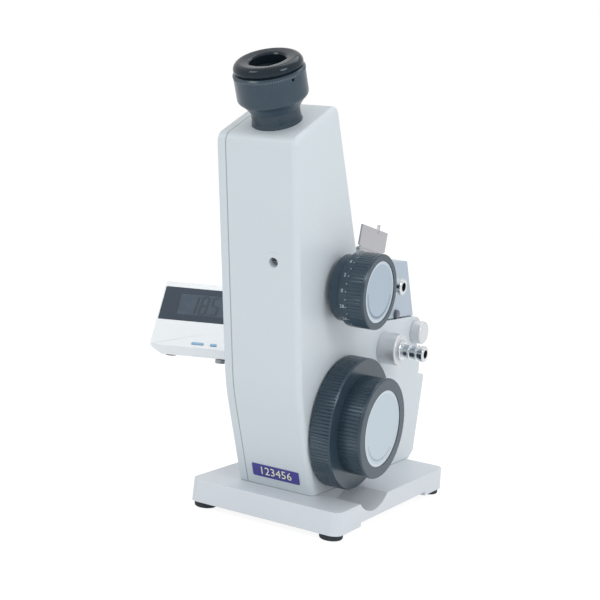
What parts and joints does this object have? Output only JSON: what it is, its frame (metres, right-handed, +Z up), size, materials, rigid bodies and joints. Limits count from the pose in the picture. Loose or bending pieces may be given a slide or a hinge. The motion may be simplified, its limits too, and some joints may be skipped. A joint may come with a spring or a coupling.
{
  "type": "abbe refractometer",
  "caption": "Bench refractometer: leaning housing with eyepiece, hinged water-jacketed prism pair, measuring and compensator knobs, and a thermometer console on a side bracket.",
  "frame": {"origin": "on the bench, under the middle of the whole instrument's outline", "axes": "+X towards the knob side, -Y towards the reader, +Z up"},
  "size_m": [0.1568, 0.1772, 0.2248],
  "materials": {
    "body_enamel": "smooth satin enamel",
    "base_enamel": "smooth satin enamel",
    "black_grip": "satin",
    "black_gloss": "glossy",
    "black_metal": "black anodised",
    "satin_disc": "satin",
    "satin_metal": "turned satin",
    "prism_shell": "satin",
    "bright_metal": "polished",
    "steel": "machined",
    "brass": "machined",
    "rubber": "moulded",
    "clear_glass": "polished",
    "frosted_glass": "frosted",
    "silvered": "polished",
    "white_plastic": "moulded",
    "grey_plastic": "moulded",
    "smoked_window": "glossy",
    "lcd": "matt",
    "board": "printed board",
    "label": "plain film",
    "button_blue": "moulded"
  },
  "bodies": {
    "stand": {"base_plate": "base_enamel", "rubber_feet": "rubber", "foot_screws": "steel", "body_housing": "body_enamel", "left_cover": "body_enamel", "cover_screws": "steel", "body_bolts": "steel", "label_plate": "label", "telescope_barrel": "black_metal", "reticle_plate": "clear_glass", "optics_plates": "black_metal", "shaft_bushes": "brass", "mirror_post": "steel", "main_prism_case": "bright_metal", "main_prism": "clear_glass", "hose_hubs": "satin_metal", "main_hose_nipples": "bright_metal", "prism_hinge_pin": "satin_metal", "scale_window": "frosted_glass", "sensor_socket": "black_gloss", "thermometer_bracket": "satin_metal", "bracket_screws": "steel", "thermometer_case": "white_plastic", "thermometer_tray": "white_plastic", "thermometer_feet": "rubber", "display_window": "smoked_window", "lcd_panel": "lcd", "circuit_board": "board"},
    "measuring_drive": {"measuring_shaft": "steel", "measuring_wheel": "black_grip", "measuring_knob": "black_grip", "measuring_knob_disc": "satin_disc"},
    "mirror_sector": {"sector_arm": "brass", "mirror": "silvered", "scale_glass": "clear_glass"},
    "compensator_drive": {"compensator_shaft": "steel", "compensator_dial": "black_grip", "compensator_knob": "black_grip", "compensator_knob_disc": "satin_disc"},
    "upper_amici": {"upper_amici_cell": "brass", "upper_amici_prism": "clear_glass"},
    "lower_amici": {"lower_amici_cell": "brass", "lower_amici_prism": "clear_glass"},
    "focusing_ring": {"focus_ring": "black_grip", "eyecup": "black_gloss"},
    "ocular": {"ocular_cell": "black_metal", "ocular_lenses": "clear_glass"},
    "calibration": {"calibration_screw": "steel"},
    "objective": {"objective_carriage": "black_metal", "objective_lens": "clear_glass"},
    "secondary_unit": {"secondary_prism_case": "prism_shell", "secondary_prism": "clear_glass", "secondary_hose_nipples": "bright_metal", "light_window_frame": "grey_plastic", "light_window": "frosted_glass", "shutter_pin": "steel"},
    "shutter": {"shutter_plate": "satin_metal"},
    "latch": {"latch_button": "black_gloss"},
    "mode_key": {"mode_button": "button_blue"},
    "hold_key": {"hold_button": "button_blue"}
  },
  "joints": [
    {"name": "measuring_turn", "type": "hinge", "parent": "stand", "child": "measuring_drive", "pos_m": [0.06066, -0.01027, 0.0492], "axis": [1, 0, 0], "range_deg": [-84, 84]},
    {"name": "mirror_tilt", "type": "hinge", "parent": "stand", "child": "mirror_sector", "pos_m": [0.03431, -0.0022, 0.0718], "axis": [1, 0, 0], "range_deg": [-12, 12]},
    {"name": "compensator_turn", "type": "hinge", "parent": "stand", "child": "compensator_drive", "pos_m": [0.06566, -0.02462, 0.11678], "axis": [1, 0, 0], "continuous": true},
    {"name": "upper_amici_turn", "type": "hinge", "parent": "stand", "child": "upper_amici", "pos_m": [0.03431, -0.02462, 0.11678], "axis": [0, -0.4462, 0.8949], "continuous": true},
    {"name": "lower_amici_turn", "type": "hinge", "parent": "stand", "child": "lower_amici", "pos_m": [0.03431, -0.02462, 0.11678], "axis": [0, -0.4462, 0.8949], "continuous": true},
    {"name": "focus_turn", "type": "hinge", "parent": "stand", "child": "focusing_ring", "pos_m": [0.03431, -0.06978, 0.20734], "axis": [0, -0.4462, 0.8949], "range_deg": [-120, 120]},
    {"name": "ocular_travel", "type": "slide", "parent": "stand", "child": "ocular", "axis": [0, -0.4462, 0.8949], "range_m": [-0.0025, 0.0025]},
    {"name": "calibration_turn", "type": "hinge", "parent": "stand", "child": "calibration", "pos_m": [0.04166, -0.05542, 0.13372], "axis": [0, -0.8949, -0.4462], "range_deg": [-360, 360]},
    {"name": "objective_shift", "type": "slide", "parent": "stand", "child": "objective", "axis": [0, -0.8949, -0.4462], "range_m": [-0.0005, 0.0005]},
    {"name": "prism_lid", "type": "hinge", "parent": "stand", "child": "secondary_unit", "pos_m": [0.03566, 0.06993, 0.087], "axis": [-1, 0, 0], "range_deg": [0, 105]},
    {"name": "shutter_fold", "type": "hinge", "parent": "secondary_unit", "child": "shutter", "pos_m": [0.04766, 0.00507, 0.13358], "axis": [0, -0.9854, 0.1702], "range_deg": [0, 90]},
    {"name": "latch_press", "type": "slide", "parent": "secondary_unit", "child": "latch", "axis": [-1, 0, 0], "range_m": [0, 0.0015], "stiffness_N_per_m": 400, "springref_m": -0.0005},
    {"name": "mode_press", "type": "slide", "parent": "stand", "child": "mode_key", "axis": [-0.2205, 0.4077, -0.8861], "range_m": [0, 0.0006], "stiffness_N_per_m": 500, "springref_m": -0.0005},
    {"name": "hold_press", "type": "slide", "parent": "stand", "child": "hold_key", "axis": [-0.2205, 0.4077, -0.8861], "range_m": [0, 0.0006], "stiffness_N_per_m": 500, "springref_m": -0.0005}
  ],
  "couplings": [
    {"joint": "mirror_tilt", "follows": "measuring_turn", "ratio": -0.14286},
    {"joint": "upper_amici_turn", "follows": "compensator_turn", "ratio": -0.32},
    {"joint": "lower_amici_turn", "follows": "compensator_turn", "ratio": 0.32},
    {"joint": "ocular_travel", "follows": "focus_turn", "m_per_rad": 0.0011925},
    {"joint": "calibration_turn", "follows": "objective_shift", "rad_per_m": 12554}
  ]
}
